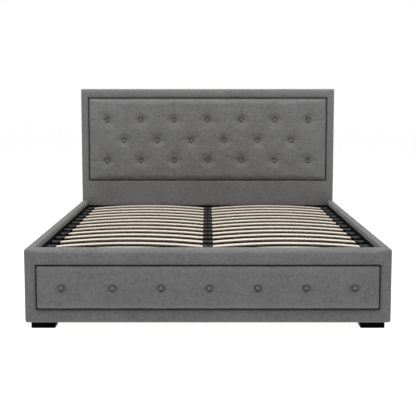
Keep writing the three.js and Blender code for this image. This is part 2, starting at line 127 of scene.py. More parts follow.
# ---- Node materials ----------------------------------------------------------------------------
class Nodes:
    """A new material's node tree, with short calls for the nodes that these materials share."""

    def __init__(self, name):
        self.material = bpy.data.materials.new(name)
        self.material.use_nodes = True
        self.tree = self.material.node_tree
        self.shader = self.tree.nodes["Principled BSDF"]
        self.place = self.add("ShaderNodeTexCoord").outputs["Object"]

    def add(self, kind, **settings):
        node = self.tree.nodes.new(kind)
        for key, value in settings.items():
            setattr(node, key, value)
        return node

    def link(self, source, target):
        self.tree.links.new(source, target)

    def math(self, operation, *values):
        node = self.add("ShaderNodeMath", operation=operation)
        for i, value in enumerate(values):
            if isinstance(value, (int, float)):
                node.inputs[i].default_value = value
            else:
                self.link(value, node.inputs[i])
        return node.outputs["Value"]

    def noise(self, scale, detail=3.0, stretch=None, roughness=0.5):
        """Noise in object space. stretch scales the axes first, for grain and fibres."""
        node = self.add("ShaderNodeTexNoise")
        node.inputs["Scale"].default_value = scale
        node.inputs["Detail"].default_value = detail
        node.inputs["Roughness"].default_value = roughness
        source = self.place
        if stretch:
            mapping = self.add("ShaderNodeMapping")
            mapping.inputs["Scale"].default_value = stretch
            self.link(source, mapping.inputs["Vector"])
            source = mapping.outputs["Vector"]
        self.link(source, node.inputs["Vector"])
        return node.outputs["Fac"]

    def ramp(self, value, stops):
        """A colour ramp through (position, (r, g, b)) stops."""
        node = self.add("ShaderNodeValToRGB")
        elements = node.color_ramp.elements
        while len(elements) < len(stops):
            elements.new(0.5)
        for element, (position, color) in zip(elements, stops):
            element.position = position
            element.color = (*color, 1.0)
        self.link(value, node.inputs["Fac"])
        return node.outputs["Color"]

    def mix(self, factor, a, b, blend="MIX"):
        """Mixes two colours. Each may be a socket or an (r, g, b) tuple."""
        node = self.add("ShaderNodeMix", data_type="RGBA", blend_type=blend)
        for socket, value in ((node.inputs[0], factor), (node.inputs[6], a), (node.inputs[7], b)):
            if isinstance(value, tuple):
                socket.default_value = (*value, 1.0)
            elif isinstance(value, (int, float)):
                socket.default_value = value
            else:
                self.link(value, socket)
        return node.outputs[2]

    def bump(self, height, strength, distance):
        """Adds a bump on top of those already there."""
        node = self.add("ShaderNodeBump")
        node.inputs["Strength"].default_value = strength
        node.inputs["Distance"].default_value = distance
        self.link(height, node.inputs["Height"])
        existing = self.shader.inputs["Normal"].links
        if existing:
            self.link(existing[0].from_socket, node.inputs["Normal"])
        self.link(node.outputs["Normal"], self.shader.inputs["Normal"])

    def set(self, **values):
        """Sets the shader's own sockets, or links them. An underscore stands for a space."""
        for key, value in values.items():
            socket = self.shader.inputs[key.replace("_", " ")]
            if isinstance(value, bpy.types.NodeSocket):
                self.link(value, socket)
            else:
                socket.default_value = value

    def weave(self, pitch):
        """A plain weave's height on faces that point along any axis: threads cross at the given pitch."""
        split = self.add("ShaderNodeSeparateXYZ")
        self.link(self.place, split.inputs["Vector"])
        wobble = self.math("MULTIPLY", self.noise(90.0, 2.0), 1.6)
        waves = [
            self.math("SINE", self.math("ADD", self.math("MULTIPLY", axis, math.tau / pitch), wobble))
            for axis in split.outputs
        ]
        products = [self.math("MULTIPLY", waves[i], waves[(i + 1) % 3]) for i in range(3)]
        return self.math("ADD", self.math("ADD", products[0], products[1]), products[2])


def rough_noise(nodes, scale, low, high):
    """A roughness that varies between two values."""
    variation = nodes.math("MULTIPLY", nodes.noise(scale, 4.0), high - low)
    return nodes.math("ADD", variation, low)


def fabric_material(name, dark, light):
    """Linen-look polyester: a plain weave of light and dark threads with slubs, random broad tone and painted
    shade in its hollows.
    """
    n = Nodes(name)
    threads = n.weave(1.7 * MM)
    weft = n.noise(260.0, 4.0, (0.16, 1.0, 1.0), 0.6)
    warp = n.noise(260.0, 4.0, (1.0, 1.0, 0.16), 0.6)
    depth_run = n.noise(260.0, 4.0, (1.0, 0.16, 1.0), 0.6)
    slubs = n.math("DIVIDE", n.math("ADD", n.math("ADD", weft, warp), depth_run), 3.0)
    cloud = n.noise(7.0, 4.0)
    tone = n.ramp(slubs, [(0.42, dark), (0.58, light)])
    tone = n.mix(0.20, tone, n.ramp(cloud, [(0.35, dark), (0.65, light)]))
    # Painted shade: the weave's low points are darkened towards near black.
    weave_hollow_shade = n.math("MULTIPLY", n.math("SUBTRACT", 1.0, threads), 0.10)
    n.set(Base_Color=n.mix(weave_hollow_shade, tone, (0.02, 0.02, 0.02)))
    n.set(Roughness=rough_noise(n, 300.0, 0.80, 0.98))
    n.set(Sheen_Weight=0.12, Sheen_Roughness=0.45, Specular_IOR_Level=0.25)
    n.bump(threads, 0.30, 0.25 * MM)
    n.bump(slubs, 0.35, 0.35 * MM)
    n.bump(n.noise(22.0, 3.0), 0.25, 2.0 * MM)
    return n.material


def slat_material():
    """Pale birch laminate: long grain on the faces, and plies along the cut edges, which are also darkened
    overall as painted shade.
    """
    n = Nodes("birch_laminate")
    grain = n.noise(26.0, 6.0, (0.05, 1.0, 1.0), 0.6)
    flecks = n.noise(180.0, 3.0, (0.06, 1.0, 1.0))
    board = n.noise(2.2, 1.0, (0.4, 3.0, 1.0))
    tone = n.ramp(grain, [(0.30, (0.52, 0.43, 0.33)), (0.50, (0.66, 0.58, 0.49)), (0.75, (0.74, 0.68, 0.60))])
    tone = n.mix(0.25, tone, n.ramp(flecks, [(0.35, (0.44, 0.34, 0.24)), (0.55, (0.74, 0.68, 0.60))]))
    tone = n.mix(0.30, tone, n.ramp(board, [(0.35, (0.58, 0.49, 0.38)), (0.65, (0.76, 0.71, 0.64))]))
    split = n.add("ShaderNodeSeparateXYZ")
    n.link(n.place, split.inputs["Vector"])
    plies = n.math("SINE", n.math("MULTIPLY", split.outputs["Z"], math.tau / (2.7 * MM)))
    normal = n.add("ShaderNodeSeparateXYZ")
    n.link(n.add("ShaderNodeNewGeometry").outputs["Normal"], normal.inputs["Vector"])
    # Faces that point along Y, the slats' long cut edges, turn dark brown: the plies' stripes are the wood's
    # own, the darkening of the whole edge is painted shade.
    side = n.math("POWER", n.math("ABSOLUTE", normal.outputs["Y"]), 4.0)
    ply_and_shade_mask = n.math("MULTIPLY", side, n.math("MULTIPLY", n.math("ADD", plies, 2.2), 0.30))
    n.set(Base_Color=n.mix(ply_and_shade_mask, tone, (0.20, 0.14, 0.09)))
    n.set(Roughness=rough_noise(n, 60.0, 0.42, 0.62))
    n.set(Coat_Weight=0.12, Coat_Roughness=0.3)
    n.bump(grain, 0.12, 0.5 * MM)
    n.bump(flecks, 0.10, 0.3 * MM)
    return n.material


def timber_material(name, dark, light):
    """Sawn softwood with long grain, soft rings and a rough face."""
    n = Nodes(name)
    rings = n.add("ShaderNodeTexWave", wave_type="RINGS", rings_direction="Y")
    rings.inputs["Scale"].default_value = 5.0
    rings.inputs["Distortion"].default_value = 7.0
    rings.inputs["Detail"].default_value = 3.0
    n.link(n.place, rings.inputs["Vector"])
    fibre = n.noise(90.0, 5.0, (0.12, 0.12, 1.0))
    ring_tone = n.ramp(rings.outputs["Fac"], [(0.2, dark), (0.8, light)])
    fibre_tone = n.ramp(fibre, [(0.3, dark), (0.7, light)])
    n.set(Base_Color=n.mix(0.4, ring_tone, fibre_tone))
    n.set(Roughness=rough_noise(n, 80.0, 0.65, 0.9))
    n.bump(fibre, 0.25, 0.6 * MM)
    return n.material


def plywood_material():
    """Rotary-cut poplar veneer: broad soft figure along the sheet, fine pores and a rough face."""
    n = Nodes("poplar_plywood")
    figure = n.noise(7.0, 5.0, (0.10, 1.0, 1.0), 0.55)
    pores = n.noise(240.0, 3.0, (0.08, 1.0, 1.0))
    tone = n.ramp(figure, [(0.35, (0.36, 0.26, 0.16)), (0.65, (0.50, 0.39, 0.26))])
    tone = n.mix(0.25, tone, n.ramp(pores, [(0.35, (0.26, 0.18, 0.11)), (0.60, (0.52, 0.41, 0.28))]))
    n.set(Base_Color=tone)
    n.set(Roughness=rough_noise(n, 80.0, 0.6, 0.85))
    n.bump(pores, 0.2, 0.3 * MM)
    return n.material


def foil_board_material():
    """Dark grey foil over board, with a fine linen emboss."""
    n = Nodes("foil_board")
    emboss = n.weave(0.9 * MM)
    cloud = n.noise(14.0, 4.0)
    n.set(Base_Color=n.ramp(cloud, [(0.3, (0.085, 0.082, 0.080)), (0.7, (0.125, 0.121, 0.117))]))
    n.set(Roughness=rough_noise(n, 40.0, 0.42, 0.62))
    n.bump(emboss, 0.12, 0.1 * MM)
    n.bump(n.noise(30.0, 2.0), 0.05, 1.0 * MM)
    return n.material


def plastic_material(name, dark, light, specular):
    """Black moulded plastic with a fine spark finish and scuffs."""
    n = Nodes(name)
    grain = n.noise(1400.0, 2.0)
    scuffs = n.noise(45.0, 6.0, (1.0, 0.3, 1.0), 0.7)
    n.set(Base_Color=n.ramp(scuffs, [(0.45, dark), (0.85, light)]))
    n.set(Roughness=rough_noise(n, 120.0, 0.34, 0.55))
    n.set(Specular_IOR_Level=specular)
    n.bump(grain, 0.12, 0.15 * MM)
    return n.material


def powder_coat_material():
    """Black powder coat on steel: a slight orange peel."""
    n = Nodes("black_powder_coat")
    peel = n.noise(420.0, 2.0)
    dust = n.noise(18.0, 5.0, None, 0.65)
    n.set(Base_Color=n.ramp(dust, [(0.4, (0.0015, 0.0015, 0.0015)), (0.8, (0.005, 0.005, 0.005))]))
    n.set(Roughness=rough_noise(n, 60.0, 0.42, 0.62))
    n.set(Specular_IOR_Level=0.08)
    n.bump(peel, 0.25, 0.2 * MM)
    return n.material


def zinc_material():
    """Bright zinc plate with spangle and drawn lines along the slide."""
    n = Nodes("zinc_plate")
    spangle = n.noise(70.0, 4.0)
    lines = n.noise(500.0, 2.0, (1.0, 0.02, 1.0))
    n.set(Base_Color=n.ramp(spangle, [(0.3, (0.42, 0.44, 0.46)), (0.7, (0.58, 0.60, 0.62))]))
    n.set(Metallic=1.0)
    n.set(Roughness=rough_noise(n, 110.0, 0.24, 0.42))
    n.bump(lines, 0.12, 0.1 * MM)
    return n.material


def nonwoven_material():
    """Black spun-bonded cloth with its small bonded dots."""
    n = Nodes("black_nonwoven")
    dots = n.add("ShaderNodeTexVoronoi")
    dots.inputs["Scale"].default_value = 650.0
    dots.inputs["Randomness"].default_value = 0.25
    n.link(n.place, dots.inputs["Vector"])
    fibres = n.noise(500.0, 5.0, (1.0, 1.0, 0.4), 0.7)
    n.set(Base_Color=n.ramp(fibres, [(0.3, (0.001, 0.001, 0.001)), (0.75, (0.005, 0.005, 0.005))]))
    n.set(Roughness=rough_noise(n, 200.0, 0.8, 1.0))
    n.set(Specular_IOR_Level=0.05)
    n.bump(dots.outputs["Distance"], 0.3, 0.2 * MM)
    return n.material


def floor_material():
    """Seamless paper that glows like a light table, so that it looks near white and shadows stay faint."""
    n = Nodes("pale_paper")
    n.set(Base_Color=n.ramp(n.noise(3.0, 3.0), [(0.3, (0.26, 0.26, 0.26)), (0.7, (0.28, 0.28, 0.28))]))
    n.set(Roughness=0.9, Emission_Color=(1.0, 1.0, 1.0, 1.0), Emission_Strength=0.95)
    return n.material


FABRIC = fabric_material("grey_linen_weave", (0.126, 0.126, 0.126), (0.207, 0.207, 0.207))
BIRCH = slat_material()
PINE = timber_material("sawn_pine", (0.38, 0.25, 0.13), (0.58, 0.42, 0.25))
BLACK_TIMBER = timber_material("black_stained_pine", (0.008, 0.007, 0.007), (0.022, 0.020, 0.019))
FOIL = foil_board_material()
PLASTIC = plastic_material("moulded_black", (0.008, 0.008, 0.008), (0.020, 0.020, 0.021), 0.45)
# The feet's copy of the black plastic is far darker than the holders': painted shade for the feet standing
# under the bed.
SHADED_FOOT_PLASTIC = plastic_material(
    "moulded_black_foot_painted_shade", (0.0005, 0.0005, 0.0005), (0.0020, 0.0020, 0.0021), 0.02
)
POWDER_COAT = powder_coat_material()
ZINC = zinc_material()
NONWOVEN = nonwoven_material()
BOARD_BACK = plywood_material()


# ---- Mesh helpers ------------------------------------------------------------------------------
def add_mesh(name, mesh, material, body):
    """A smooth mesh as an object that rides on a body."""
    mesh.materials.append(material)
    mesh.polygons.foreach_set("use_smooth", [True] * len(mesh.polygons))
    piece = bpy.data.objects.new(name, mesh)
    bpy.context.scene.collection.objects.link(piece)
    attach(piece, body)
    return piece


def add_piece(name, vertices, faces, material, body):
    """A smooth piece made from its lists of vertices and faces."""
    mesh = bpy.data.meshes.new(name)
    mesh.from_pydata(vertices, [], faces)
    mesh.validate()
    mesh.update()
    return add_mesh(name, mesh, material, body)


def grid_faces(rows, columns, flip=False):
    """Quads of a rows by columns grid of vertices."""
    faces = []
    for r in range(rows - 1):
        for c in range(columns - 1):
            a = r * columns + c
            quad = (a, a + 1, a + columns + 1, a + columns)
            faces.append(quad[::-1] if flip else quad)
    return faces


def spread(first, last, count):
    """The values that split first to last into count equal steps, with both ends."""
    return [first + (last - first) * i / count for i in range(count + 1)]


def steps(low, high, spacing):
    """Evenly spaced values from low to high, no further apart than spacing."""
    return spread(low, high, max(1, math.ceil((high - low) / spacing)))


def quarter(radius, count):
    """(across, deep) pairs along a quarter circle, from its deep end at the edge to the face."""
    angles = [0.5 * math.pi * i / count for i in range(count + 1)]
    return [(radius * (1 - math.cos(a)), radius * (1 - math.sin(a))) for a in angles]


def turned(radius, count):
    """(across, further back) pairs along a quarter circle that turns from a side onto the back."""
    angles = [0.5 * math.pi * i / count for i in range(1, count + 1)]
    return [(radius * (1 - math.cos(a)), radius * math.sin(a)) for a in angles]


def rounded_corner(x, z, rectangle, radius):
    """Moves a point near one of the rectangle's corners inwards, so that the outline there becomes an arc."""
    x0, x1, z0, z1 = rectangle
    half_x, half_z = (x1 - x0) / 2, (z1 - z0) / 2
    mid_x, mid_z = (x1 + x0) / 2, (z1 + z0) / 2
    a = (abs(x - mid_x) - (half_x - radius)) / radius
    b = (abs(z - mid_z) - (half_z - radius)) / radius
    if a > 0 and b > 0:
        x = mid_x + math.copysign(half_x - radius + radius * a * math.sqrt(1 - b * b / 2), x - mid_x)
        z = mid_z + math.copysign(half_z - radius + radius * b * math.sqrt(1 - a * a / 2), z - mid_z)
    return x, z


def segment_distance(p, a, b):
    """(distance from p to segment ab, how far along it from 0 to 1), in the plane."""
    ax, az = b[0] - a[0], b[1] - a[1]
    along = ((p[0] - a[0]) * ax + (p[1] - a[1]) * az) / (ax * ax + az * az)
    along = min(1.0, max(0.0, along))
    return math.hypot(p[0] - a[0] - along * ax, p[1] - a[1] - along * az), along


def soft_noise(x, y, z, scale):
    """Smooth noise about zero, for the small waves in stretched fabric."""
    return noise.noise(Vector((x * scale, y * scale, z * scale)))


# ---- Tufted pads -------------------------------------------------------------------------------
BUTTON_RADIUS = 9.5 * MM
BUTTON_WELL = BUTTON_RADIUS + 2 * MM  # the bottom of the dimple that a button sits in
REVEAL = 8 * MM  # the gap round each tufted pad
SWELL = 1.5 * MM  # how far the fabric on each side stands into that gap
OPENING_GAP = REVEAL - SWELL
SETTLING_TICKS = 10
MOST_SWELL = 4 * MM  # how far the simulation may move a point
FOOT_PAD_PROUD = 12 * MM  # its rolled top edge stands clear of the border round it
WELL_SHARE = 0.72  # of a button's pull, drawn in steeply round the button
WELL_REACH = 6 * MM
HOLLOW_REACH = 30 * MM  # the rest of the pull is drawn in over a wide hollow
FOLD_POWER = 1.3  # how square the hollows and folds are across
FOLD_CELL = 60 * MM  # folds are looked up by square cells of this size
CELL_MARGIN = 0.4  # of a cell: a fold this close also counts
PAD_SPACING = 9 * MM


class Tufting:
    """The buttons of one pad and the folds between them."""

    def __init__(self, buttons, folds, pull, fold_depth):
        self.buttons = buttons
        self.pull = pull
        self.fold_depth = fold_depth
        self.cells = {}
        for fold in folds:
            for key in self.keys(fold):
                self.cells.setdefault(key, []).append(fold)

    def keys(self, fold):
        """Grid cells that a fold passes through or close by."""
        (ax, az), (bx, bz) = fold[0], fold[1]
        found = set()
        for share in spread(0.0, 1.0, 25):
            x, z = ax + (bx - ax) * share, az + (bz - az) * share
            for dx in (-CELL_MARGIN, CELL_MARGIN):
                for dz in (-CELL_MARGIN, CELL_MARGIN):
                    found.add((math.floor(x / FOLD_CELL + dx), math.floor(z / FOLD_CELL + dz)))
        return found

    def nearest(self, x, z):
        """Distance to the nearest button's centre."""
        return min(math.hypot(x - bx, z - bz) for bx, bz in self.buttons)

    def dimple(self, x, z):
        """How far the cover is drawn in round the nearest button."""
        rim = max(0.0, self.nearest(x, z) - BUTTON_WELL)
        well = WELL_SHARE * math.exp(-rim / WELL_REACH)
        hollow = (1 - WELL_SHARE) * math.exp(-((rim / HOLLOW_REACH) ** FOLD_POWER))
        return self.pull * (well + hollow)

    def crease(self, x, z):
        """Depth of the folds sewn in at (x, z). A fold is shallowest halfway along."""
        deepest = 0.0
        key = (math.floor(x / FOLD_CELL), math.floor(z / FOLD_CELL))
        for a, b, strength, width in self.cells.get(key, ()):
            away, along = segment_distance((x, z), a, b)
            fade = strength * (0.4 + 0.6 * abs(2 * along - 1) ** 1.5)
            deepest = max(deepest, self.fold_depth * fade * math.exp(-((away / width) ** FOLD_POWER)))
        return deepest


def lines_near(low, high, spacing, places):
    """Grid lines from low to high, closer together round each place, where a button or a fold sits."""
    offsets = [sign * offset * MM for offset in (1.5, 4.5, 8.0, 12.0, 17.0) for sign in (-1, 1)]
    stops = sorted({low, high} | {place + offset for place in places for offset in offsets})
    lines = [stops[0]]
    for stop in stops[1:]:
        lines += steps(lines[-1], stop, spacing)[1:]
    return lines


def settle_cloth(vertices, faces, pinned, most):
    """Swells an open sheet under pressure between its pinned points, and gives back its points' places.

    No point moves further than most.
    """
    mesh = bpy.data.meshes.new("settling")
    mesh.from_pydata(vertices, [], faces)
    piece = bpy.data.objects.new("settling", mesh)
    scene = bpy.context.scene
    scene.collection.objects.link(piece)
    piece.vertex_groups.new(name="pinned").add(pinned, 1.0, "REPLACE")
    cloth = piece.modifiers.new("cloth", "CLOTH")
    cloth.point_cache.frame_end = SETTLING_TICKS
    cloth.collision_settings.use_collision = False
    settings = cloth.settings
    settings.quality = 4
    settings.mass = 0.2
    settings.tension_stiffness = 15.0
    settings.compression_stiffness = 15.0
    settings.shear_stiffness = 5.0
    settings.bending_stiffness = 0.5
    settings.use_pressure = True
    settings.uniform_pressure_force = 4.0
    settings.vertex_group_mass = "pinned"
    settings.effector_weights.gravity = 0.0
    settings.shrink_min = -0.012  # the cover is cut a little larger than the foam
    for tick in range(1, SETTLING_TICKS + 1):
        scene.frame_set(tick)
    settled = piece.evaluated_get(bpy.context.evaluated_depsgraph_get()).to_mesh()
    places = []
    for before, after in zip(vertices, settled.vertices):
        move = after.co - Vector(before)
        if move.length > most:
            move *= most / move.length
        places.append(Vector(before) + move)
    bpy.data.objects.remove(piece)
    scene.frame_set(1)
    return places


def smoothed(vertices, faces):
    """A mesh with one level of subdivision applied."""
    mesh = bpy.data.meshes.new("smoothing")
    mesh.from_pydata(vertices, [], faces)
    piece = bpy.data.objects.new("smoothing", mesh)
    bpy.context.scene.collection.objects.link(piece)
    piece.modifiers.new("smooth", "SUBSURF").levels = 1
    finished = bpy.data.meshes.new_from_object(piece.evaluated_get(bpy.context.evaluated_depsgraph_get()))
    bpy.data.objects.remove(piece)
    return finished


def pad_front(middle, half, front, tufting, roll, corner, crown):
    """The front sheet of a pad, rolled back at its edges.

    middle and half give its outline as (x, z) pairs, and front is the y of its plain face. Returns its
    vertices, the indices of those that the cloth simulation pins, and its numbers of rows and columns.
    """
    arc = roll * math.pi / 2
    outline = (-half[0], half[0], -half[1], half[1])

    def rolled(value, reach):
        """Maps a distance from the middle, measured over the cover, onto the rolled edge: (place, depth)."""
        from_edge = reach - roll + arc - abs(value)
        if from_edge >= arc:
            return value, 0.0
        angle = (1 - from_edge / arc) * math.pi / 2
        return math.copysign(reach - roll + roll * math.sin(angle), value), roll * (1 - math.cos(angle))

    def lines(axis):
        reach = half[axis] - roll + arc
        places = {round(centre[axis] - middle[axis], 4) for centre in tufting.buttons}
        return lines_near(-reach, reach, PAD_SPACING, places)

    xs, zs = lines(0), lines(1)
    vertices = []
    pinned = []
    for z in zs:
        for x in xs:
            px, deep_x = rolled(x, half[0])
            pz, deep_z = rolled(z, half[1])
            deep = max(deep_x, deep_z)
            if deep_x and deep_z:
                deep = roll - math.sqrt(max(0.0, (roll - deep_x) ** 2 + (roll - deep_z) ** 2 - roll * roll))
            px, pz = rounded_corner(px, pz, outline, corner)
            fade = max(0.0, 1 - deep / roll)
            wx, wz = middle[0] + px, middle[1] + pz
            bulge = crown * (1 - (px / half[0]) ** 24) * (1 - (pz / half[1]) ** 12)
            ripple = 0.7 * MM * soft_noise(wx, 0.3, wz, 11.0) + 0.35 * MM * soft_noise(wx, 0.7, wz, 34.0)
            if fade < 0.15 or tufting.nearest(wx, wz) < BUTTON_WELL:
                pinned.append(len(vertices))
            wy = front + deep - (bulge + ripple) * fade + tufting.dimple(wx, wz) * min(1.0, fade * 1.6)
            vertices.append((wx, wy, wz))
    return vertices, pinned, len(zs), len(xs)


def grid_rim(rows, columns):
    """Indices of a grid's outermost vertices, in order round it."""
    rim = list(range(columns))
    rim += [r * columns + columns - 1 for r in range(1, rows)]
    rim += [(rows - 1) * columns + c for c in range(columns - 2, -1, -1)]
    rim += [r * columns for r in range(rows - 2, 0, -1)]
    return rim


def add_sides(vertices, faces, rim, depths):
    """Carries a sheet's rim straight back through the given depths."""
    count = len(rim)
    previous = rim
    for y in depths:
        ring = list(range(len(vertices), len(vertices) + count))
        vertices += [(vertices[i][0], y, vertices[i][2]) for i in rim]
        for i in range(count):
            j = (i + 1) % count
            faces.append((previous[j], previous[i], ring[i], ring[j]))
        previous = ring


def tufted_pad(name, node, body, tufting, roll, corner, crown, proud=0.0):
    """A padded cover, open at its back, whose front is drawn in at its buttons and folds."""
    low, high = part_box(node)
    low.y -= proud
    front = low.y
    middle = ((high.x + low.x) / 2, (high.z + low.z) / 2)
    half = ((high.x - low.x) / 2 + SWELL, (high.z - low.z) / 2 + SWELL)
    vertices, pinned, rows, columns = pad_front(middle, half, front, tufting, roll, corner, crown)
    faces = grid_faces(rows, columns)
    vertices = settle_cloth(vertices, faces, pinned, MOST_SWELL)
    add_sides(vertices, faces, grid_rim(rows, columns), steps(front + roll, high.y, 8 * MM)[1:])
    mesh = smoothed(vertices, faces)
    for vertex in mesh.vertices:
        x, y, z = vertex.co
        share = max(0.0, 1 - max(0.0, y - front) / roll)  # 1 on the front, and 0 behind the rolled edge
        if share or tufting.nearest(x, z) < 3 * BUTTON_RADIUS:
            vertex.co.y += tufting.crease(x, z) * max(share, 0.3 if y < front + 2 * roll else 0.0)
    pad = add_mesh(name, mesh, FABRIC, body)
    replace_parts(pad, node)


def build_pad_board():
    """The plywood board that the headboard's pad is stapled round, with its corners rounded."""
    low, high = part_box("headboard_pad")
    inset, thickness, radius = 2 * MM, 12 * MM, 12 * MM
    half_x, half_z = (high.x - low.x) / 2 - inset, (high.z - low.z) / 2 - inset
    mid_z = (high.z + low.z) / 2
    outline = []
    for quadrant, (sx, sz) in enumerate(((1, 1), (-1, 1), (-1, -1), (1, -1))):
        for turn in steps(0.0, 0.5 * math.pi, 0.3):
            a = quadrant * 0.5 * math.pi + turn
            x = sx * (half_x - radius) + radius * math.cos(a)
            outline.append((x, mid_z + sz * (half_z - radius) + radius * math.sin(a)))
    count = len(outline)
    vertices = [(x, y, z) for y in (high.y - thickness, high.y) for x, z in outline]
    faces = [(i, (i + 1) % count, count + (i + 1) % count, count + i) for i in range(count)]
    faces += [tuple(range(count))[::-1], tuple(range(count, 2 * count))]
    board = add_piece("headboard_pad_board", vertices, faces, BOARD_BACK, "bed_frame")
    board.data.polygons.foreach_set("use_smooth", [False] * len(board.data.polygons))
    bevel = board.modifiers.new("softened_edges", "BEVEL")
    bevel.width = 1.0 * MM
    bevel.segments = 2


def button(name, x, y, z, body):
    """A fabric-covered button, domed to the front, with a rolled rim. y is where its rim sits."""
    r = BUTTON_RADIUS
    # The profile is (radius, depth) from the middle of the front to the middle of the back.
    dome = [(r * math.sin(t), -0.42 * r * math.cos(t)) for t in steps(0.0, 0.45 * math.pi, 0.3)]
    profile = dome + [(r, 0.10 * r), (0.93 * r, 0.22 * r), (0.70 * r, 0.26 * r), (0.0, 0.26 * r)]
    segments = 28
    vertices = [(x, y + profile[0][1], z)]
    for radius, deep in profile[1:-1]:
        for i in range(segments):
            a = math.tau * i / segments
            vertices.append((x + radius * math.cos(a), y + deep, z + radius * math.sin(a)))
    vertices.append((x, y + profile[-1][1], z))
    faces = []
    rings = len(profile) - 2
    for i in range(segments):
        j = (i + 1) % segments
        faces.append((0, 1 + i, 1 + j))
        for r in range(rings - 1):
            a, b = 1 + r * segments, 1 + (r + 1) * segments
            faces.append((a + i, b + i, b + j, a + j))
        last = 1 + (rings - 1) * segments
        faces.append((last + i, len(vertices) - 1, last + j))
    add_piece(name, vertices, faces, FABRIC, body)


def pad_buttons(prefix, tufting, front, body, seat):
    """All buttons of one pad, whose rims sit behind its plain front by seat."""
    for i, (x, z) in enumerate(tufting.buttons):
        button(f"{prefix}_{i + 1:02d}", x, front + seat, z, body)


# ---- Headboard's and foot end's tufting --------------------------------------------------------
ROW_HEIGHTS = (0.871, 0.741, 0.611)
BUTTON_PITCH = 0.2145
FOOT_PITCH = 0.2135
FOOT_BUTTONS = 7


def headboard_tufting():
    """Rows of seven, six and seven buttons, with folds between them and out to the pad's edges."""
    low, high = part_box("headboard_pad")
    sevens = [BUTTON_PITCH * (i - 3) for i in range(7)]
    sixes = [BUTTON_PITCH * (i - 2.5) for i in range(6)]
    top, middle, bottom = ROW_HEIGHTS
    buttons = [(x, top) for x in sevens] + [(x, middle) for x in sixes] + [(x, bottom) for x in sevens]
    sharp, soft = 2.5 * MM, 6 * MM
    folds = []
    for x in sixes:
        for sign in (-0.5, 0.5):
            for row in (top, bottom):
                folds.append(((x, middle), (x + sign * BUTTON_PITCH, row), 0.5, soft))
    for x in sevens:
        folds.append(((x, top), (x, high.z), 2.0, sharp))
        folds.append(((x, bottom), (x, low.z), 1.8, sharp))
    for side, edge in ((-1, low.x), (1, high.x)):
        x = side * 3 * BUTTON_PITCH
        folds.append(((x, top), (edge, top), 1.6, sharp))
        folds.append(((x, bottom), (edge, bottom), 1.6, sharp))
    return Tufting(buttons, folds, 18 * MM, 2.4 * MM)


def foot_tufting():
    """One row of buttons, with folds up and down to points halfway between them."""
    low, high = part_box("drawer_front_pad")
    aside = 6 * MM  # the row sits a little to the right
    drift = 12 * MM  # and its first button a little further out
    height = 0.183
    buttons = [(FOOT_PITCH * (i - 3) + aside, height) for i in range(FOOT_BUTTONS)]
    buttons[0] = (buttons[0][0] - drift, height)
    width = 6 * MM
    folds = []
    for i in range(FOOT_BUTTONS + 1):
        between = FOOT_PITCH * (i - 3.5) + aside
        for x, z in buttons:
            if abs(x - between) < FOOT_PITCH:
                folds.append(((x, z), (between, high.z), 0.5, width))
                folds.append(((x, z), (between, low.z), 0.5, width))
    return Tufting(buttons, folds, 19 * MM, 3.2 * MM)


def build_headboard_pad():
    """The headboard's pad, its buttons and its board."""
    tufting = headboard_tufting()
    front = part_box("headboard_pad")[0].y
    tufted_pad(
        "headboard_tufted_pad", "headboard_pad", "bed_frame", tufting,
        roll=13 * MM, corner=7 * MM, crown=2 * MM,
    )
    pad_buttons("headboard_button", tufting, front, "bed_frame", seat=6 * MM)
    build_pad_board()


def build_drawer_pad():
    """The pad on the drawer's front, and its buttons."""
    tufting = foot_tufting()
    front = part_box("drawer_front_pad")[0].y - FOOT_PAD_PROUD
    tufted_pad(
        "drawer_tufted_front", "drawer_front_pad", "drawer", tufting,
        roll=14 * MM, corner=7 * MM, crown=2 * MM, proud=FOOT_PAD_PROUD,
    )
    pad_buttons("drawer_button", tufting, front, "drawer", seat=5 * MM)


# ---- Padded borders ----------------------------------------------------------------------------
MITRE_BLEND = 70 * MM  # a strip takes its end cross-section over this length
NO_SEAM = 1.0  # the distance to a seam where there is none
EDGE_TURN = 4 * MM  # the radius where a cover turns onto the back
BACK_FLAP = 38 * MM  # how far the headboard's cover reaches over its back
RECESS_DEPTH = 37 * MM  # the headboard's cover turns in this far round its pad
STRIP_BOTTOM = 0.322  # the headboard's plain strip ends here, behind the slats
LINING_BOTTOM = 0.264  # the covers end here on the inner faces of the rails and the foot end
LINING_CLEARANCE = 1.5 * MM  # between the foot end's timber and the lining over it


